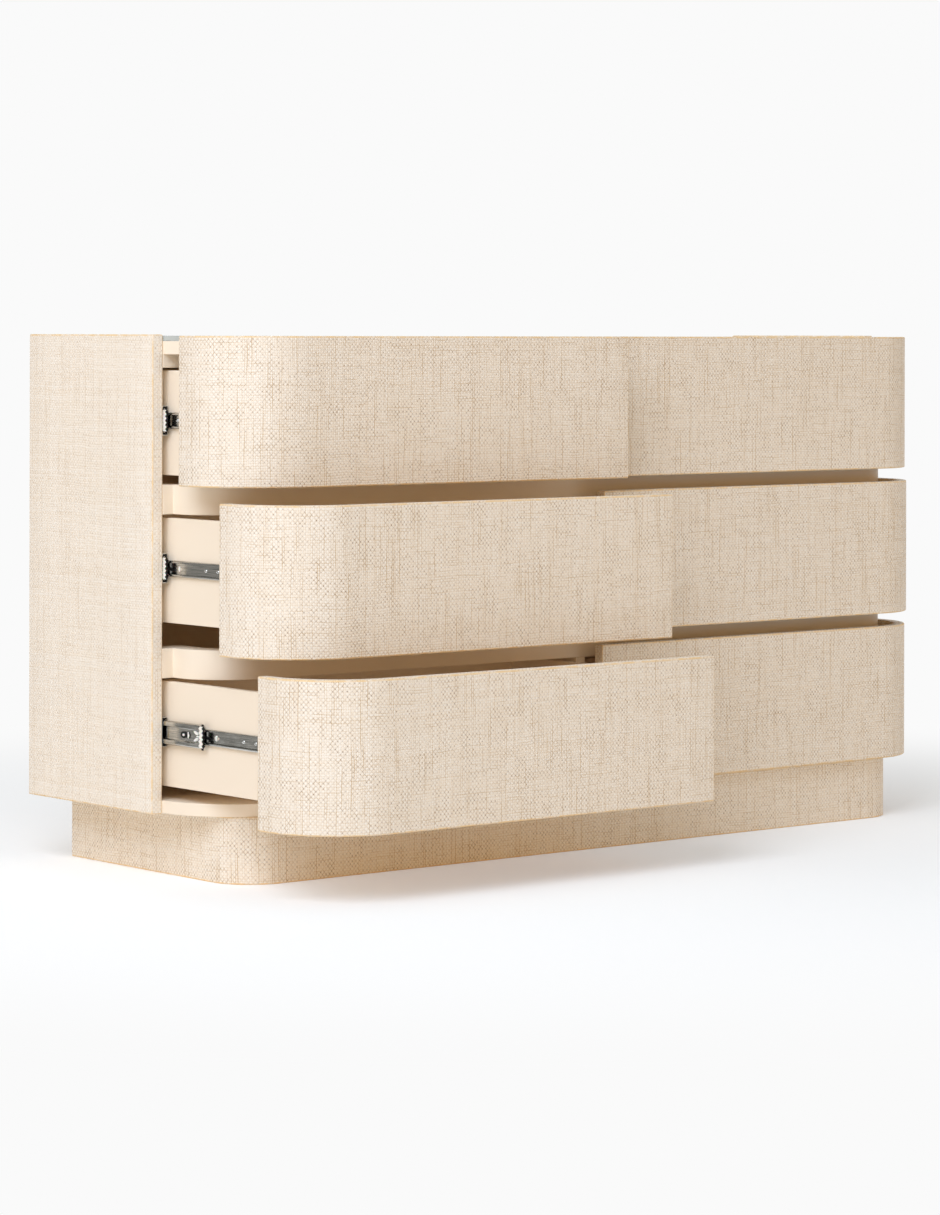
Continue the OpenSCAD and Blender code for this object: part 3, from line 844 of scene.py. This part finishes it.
def cage_bars(u, height, half_u, half_z):
    """A bar with rounded ends along each raceway, its section a rounded square: (|cos|, |sin|) to the power
    0.5 with their signs. It starts at the member's front end."""
    t = np.arange(CAGE_SIDES) * 2 * math.pi / CAGE_SIDES
    round_u, round_z = (np.sign(wave) * abs(wave) ** 0.5 for wave in (np.cos(t), np.sin(t)))
    length = BALL_PITCH * BALL_COUNT + 6
    stations = ((0.2, 0.7), (0.6, 1.0), (length - 0.4, 1.0), (length, 0.7))
    shape = np.stack([np.column_stack([half_u * round_u * k, np.full(CAGE_SIDES, d), half_z * round_z * k])
                      for d, k in stations])
    return moved(shape, [(u, 0, height), (u, 0, -height)])


print(len(ball_rows(*INNER_RACE)), "balls in a pair of raceways")

# %% Front end of the middle member
# A black stop, its black partly a painted shadow in the gap, a zinc tab that closes the channel, and a
# white comb on the stop's face, its white partly a painted glint of the zinc.
zigzag = np.stack([3.5 * (np.arange(11) % 2), np.linspace(-16, 16, 11)], 1)
stop_teeth = zigzag[::-1] * (1, 0.8) + (-11.5, 0)
STOP = plate([(-3.0, -16.5), (-3.0, 16.5), (-4.0, 17.0), (-4.0, 19.2), (-8.0, 19.2), (-8.0, 16.5),
              *stop_teeth, (-8.0, -16.5), (-8.0, -19.2), (-4.0, -19.2), (-4.0, -17.0)], 3.6, BAND_FACE)[None]
END_TAB = plate([(-1.5, -8.0), (-0.02, -8.0), (-0.02, 8.0), (-1.5, 8.0)], 2.6, 9.0)[None]
COMB = plate([*(zigzag + (-8.0, 0)), *(zigzag + (-0.5, 0))[::-1]], BAND_FACE - 0.02, 1.6)[None]

# Behind it three white prongs, each an oval, two of them tilted; their white is partly a painted glint.
full = np.arange(14) * 2 * math.pi / 14
leaf = np.stack([5.6 * np.cos(full), 2.2 * np.sin(full)], 1)
slope = math.radians(24)
tilted = leaf @ np.array([(math.cos(slope), math.sin(slope)), (-math.sin(slope), math.cos(slope))])
PRONGS = np.stack([plate(tilted + (13.0, 5.0), PRESSED_FACE, 3.4, 0.8),
                   plate(tilted * (1, -1) + (13.0, -5.0), PRESSED_FACE, 3.4, 0.8),
                   plate(leaf * 0.5 + (9.5, 0), PRESSED_FACE, 4.0, 0.4)])
print("comb of", COMB.shape[2], "points and", len(PRONGS), "prongs")

# %% Ring, rivet, crescent, keys and lever
RING_AT, CRESCENT_AT, KEY_AT, DETENT_AT = (0, 44, 0), 33.5, (33, 0), (138, 0)
OVAL = (1, 1.45, 1)
RING = moved(turned([(5.0, PRESSED_FACE), (5.1, 4.1), (4.8, 3.7), (2.3, 3.7), (2.0, 3.9), (2.0, 5.3)], 24)
             * OVAL, [RING_AT])
RIVET = moved(turned([(1.9, 5.35), (1.9, 4.0), (1.6, 3.6), (0.5, 3.4)], 24) * OVAL, [RING_AT])
arc = np.linspace(-1.1, 1.1, 9)
bow_out, bow_in = (np.stack([CRESCENT_AT - r * np.cos(arc), r * np.sin(arc)], 1) for r in (5.2, 3.6))
CRESCENT = plate([*bow_out, *bow_in[::-1]], PRESSED_FACE, 4.6)[None]
turn = np.linspace(0, math.pi, 7)
round_end = 1.4 * np.stack([np.cos(turn), np.sin(turn)], 1)
STADIUM = np.concatenate([round_end + (0, 3.2), -round_end - (0, 3.2)])
KEY = plate(STADIUM + KEY_AT, PRESSED_FACE, 4.5)[None]
DETENT = plate(STADIUM * (1.35, 0.9) + DETENT_AT, RUNNER_WEB + 0.1, 10.4)[None]
LEVER = plate([(149, -3.4), (151, -4.2), (158, -3.6), (166, -3.4), (172, -4.4), (175, -3.2), (175, 2.4),
               (171, 3.4), (165, 1.4), (157, 0.2), (150, -1.4)], RUNNER_WEB - 0.1, 9.2, 0.6)[None]
print("crescent of", CRESCENT.shape[2], "points, lever of", LEVER.shape[2])

# %% Small parts on every drawer
# The white nylon parts also paint the zinc's glints, and the black stop partly paints the shadow in the gap.
SMALL_PARTS = (("runner_screws", RUNNER_SCREWS, ZINC, "runner"), ("release_levers", LEVER, ACETAL, "runner"),
               ("stops", STOP, ACETAL, "middle"), ("end_tabs", END_TAB, ZINC, "middle"),
               ("combs", COMB, NYLON_AND_GLINTS, "middle"), ("detents", DETENT, NYLON_AND_GLINTS, "runner"),
               ("prongs", PRONGS, NYLON_AND_GLINTS, "middle"), ("bumper_rings", RING, ACETAL, "middle"),
               ("rivets", RIVET, NYLON_AND_GLINTS, "middle"), ("crescents", CRESCENT, ACETAL, "middle"),
               ("keys", KEY, NYLON_AND_GLINTS, "middle"),
               ("inner_cages", cage_bars(*INNER_RACE, 1.2, 1.5), ACETAL, "middle"),
               ("inner_balls", ball_rows(*INNER_RACE), ZINC, "middle"),
               ("outer_cages", cage_bars(*OUTER_RACE, 2.6, 1.4), ACETAL, "fixed"),
               ("outer_balls", ball_rows(*OUTER_RACE), ZINC, "fixed"))

for row, column in DRAWERS:
    name = f"{row}_{column}"
    lo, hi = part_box(f"{name}_middle_slides")
    members = {"runner": (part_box(f"{name}_runners")[0].y, f"{name}_drawer"),
               "middle": (lo.y, f"{name}_slides"),
               "fixed": (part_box(f"fixed_slides_{column}")[0].y, "case")}
    for part, rings, material, member in SMALL_PARTS:
        front, body = members[member]
        on_slides(f"{name}_{part}", rings, front, (lo.z + hi.z) / 2, column, material, body)
print(len(SMALL_PARTS), "kinds of part on twelve slides")

# %% [markdown]
# ## Screws in the back
# The back panel is a thin board, so it is held all round by short screws near its edges. Nails would hold
# it too, but screws keep a wide case square. The pan head is the same, turned backwards.

# %% Screws in the back
FROM_EDGE = 0.012

lo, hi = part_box("back_panel")
across = np.linspace(lo.x + FROM_EDGE, hi.x - FROM_EDGE, 9)
upwards = np.linspace(lo.z + FROM_EDGE, hi.z - FROM_EDGE, 5)
places = [*product(across, upwards[[0, -1]]), *product(across[[0, -1]], upwards[1:-1])]
depth, aside, above = np.moveaxis(PAN_HEAD / 1000, -1, 0)
outside = hi.y + RUNNER_WEB / 1000 - depth
heads = [np.stack([x + aside, outside, z + above], 2) for x, z in places]
place_piece("back_screws", ring_mesh("back_screws", np.array(heads)), ZINC, "case")
print(len(places), "screws in the back")

# %% [markdown]
# ## Floor, background and light
# The studio is plain: a pale floor that runs into a white background, one very large soft lamp high on the
# left, and a little light from everywhere else, warm from low down and neutral from above. A curved
# backdrop would need its own lamps to come out white. So the floor is lit as any floor is and keeps the
# shadow, and what the camera and the reflections see of it fades into plain white away from the chest.

# %% World
WHITE = linear("#fafafa")


def seen_rays(tree):
    """1 for the rays of the camera, of reflections and through glass, 0 for those of soft light."""
    rays = add(tree, "LightPath", out=None)
    seen = add(tree, "Math", {0: rays["Is Camera Ray"], 1: rays["Is Glossy Ray"]}, operation="MAXIMUM")
    return add(tree, "Math", {0: seen, 1: rays["Is Transmission Ray"]}, operation="MAXIMUM")


world = bpy.data.worlds.new("white studio")
bpy.context.scene.world = world
world.use_nodes = True
tree = world.node_tree
tree.nodes.clear()
towards = add(tree, "SeparateXYZ", {0: add(tree, "TexCoord", out="Generated")}, out=2)
rise = add(tree, "MapRange", {0: towards, 1: 0.15, 2: 0.6}, interpolation_type="SMOOTHSTEP")
dome = add(tree, "Mix", {"Factor": rise, "A": linear("#daab65"), "B": linear("#b9bbbb")},
           data_type="RGBA", out=2)
ambient = add(tree, "Background", {"Color": dome, "Strength": 1.0})
white = add(tree, "Background", {"Color": WHITE, "Strength": 1.0})
mixed = add(tree, "MixShader", {0: seen_rays(tree), 1: ambient, 2: white})
tree.links.new(mixed, tree.nodes.new("ShaderNodeOutputWorld").inputs[0])
print("world", world.name)

# %% Floor
FLOOR_HALF = 12.0


def studio_floor(tree):
    """A pale floor, and where it is seen a little cool light on top of that. From 0.6 to 2 m away from the
    chest's middle it turns plain white."""
    seen = seen_rays(tree)
    place = add(tree, "TexCoord", out="Object")
    distance = add(tree, "VectorMath", {0: place}, operation="LENGTH", out="Value")
    far = add(tree, "MapRange", {0: distance, 1: 0.6, 2: 2.0}, interpolation_type="SMOOTHSTEP")
    plain = add(tree, "Math", {0: far, 1: seen}, operation="MULTIPLY")
    lit = add(tree, "BsdfDiffuse", {"Color": linear("#faf8f4")})
    lift = add(tree, "Math", {0: seen, 1: 0.222}, operation="MULTIPLY")
    glow = add(tree, "Emission", {"Color": linear("#c9e4ff"), "Strength": lift})
    lifted = add(tree, "AddShader", {0: lit, 1: glow})
    white = add(tree, "Emission", {"Color": WHITE, "Strength": 1.0})
    return add(tree, "MixShader", {0: plain, 1: lifted, 2: white})


def staged(name, corners, material):
    """A four-cornered piece of the studio."""
    mesh = bpy.data.meshes.new(name)
    mesh.from_pydata(corners, [], [(0, 1, 2, 3)])
    mesh.materials.append(material)
    return new_object(name, mesh)


square = ((-1, -1), (1, -1), (1, 1), (-1, 1))
floor = staged("floor", [(x * FLOOR_HALF, y * FLOOR_HALF, 0) for x, y in square],
               new_material("pale studio floor", studio_floor))
print("floor", 2 * FLOOR_HALF, "m wide")

# %% [markdown]
# Bright metal looks like what it reflects. The photographer's grey wall stood behind the chest on the left,
# and the slides show it as their grey. A darker zinc would look dull from every other side. So a grey card
# stands there for reflections alone: the camera, the soft light and shadows pass through it.

# %% Grey card
CARD_ENDS = ((-2.2, 0.23), (-0.8, 1.4))
CARD_LOW, CARD_HIGH = 0.02, 1.8


def grey_card(tree):
    """An even grey light."""
    return add(tree, "Emission", {"Color": linear("#96948f"), "Strength": 1.0})


low, high = ([(*end, z) for end in CARD_ENDS] for z in (CARD_LOW, CARD_HIGH))
card = staged("grey_card", low + high[::-1], new_material("grey card", grey_card))
card.visible_camera = card.visible_diffuse = card.visible_shadow = card.visible_transmission = False
print("grey card from", *CARD_ENDS)

# %% [markdown]
# The lamp is a square soft box 3.5 m wide, in front of the chest on its left. Small lamps would give several
# hard shadows, and the photograph shows one soft one.

# %% Lamp
LAMP_PLAN = Vector((-0.875, -0.485, 0))  # towards the lamp, seen from above
LAMP_RISE = math.radians(38)
LAMP_DISTANCE = 6.0
LAMP_AIM = Vector((0, 0, 0.4))
LAMP_LEVEL = 0.58  # the share of white that it gives a white face square to it

towards = LAMP_PLAN.normalized() * math.cos(LAMP_RISE) + upright * math.sin(LAMP_RISE)
lamp = new_object("key", bpy.data.lights.new("key", "AREA"))
lamp.data.shape = "SQUARE"
lamp.data.size = 3.5
lamp.data.color = linear("#eaf2ff")[:3]
lamp.data.energy = math.pi ** 2 * LAMP_DISTANCE ** 2 * LAMP_LEVEL  # watts for that share
facing = towards.to_track_quat("Z", "Y").to_matrix().to_4x4()
lamp.matrix_world = Matrix.Translation(LAMP_AIM + towards * LAMP_DISTANCE) @ facing
print("lamp of", round(lamp.data.energy), "W")

# %% [markdown]
# ## Colour management and closing
# The Standard view shows colours as they are written; AgX would grey the whites.

# %% View
bpy.context.scene.cycles.diffuse_bounces = 12  # pale boards in a narrow gap pass light on many times
bpy.context.scene.view_settings.view_transform = "Standard"
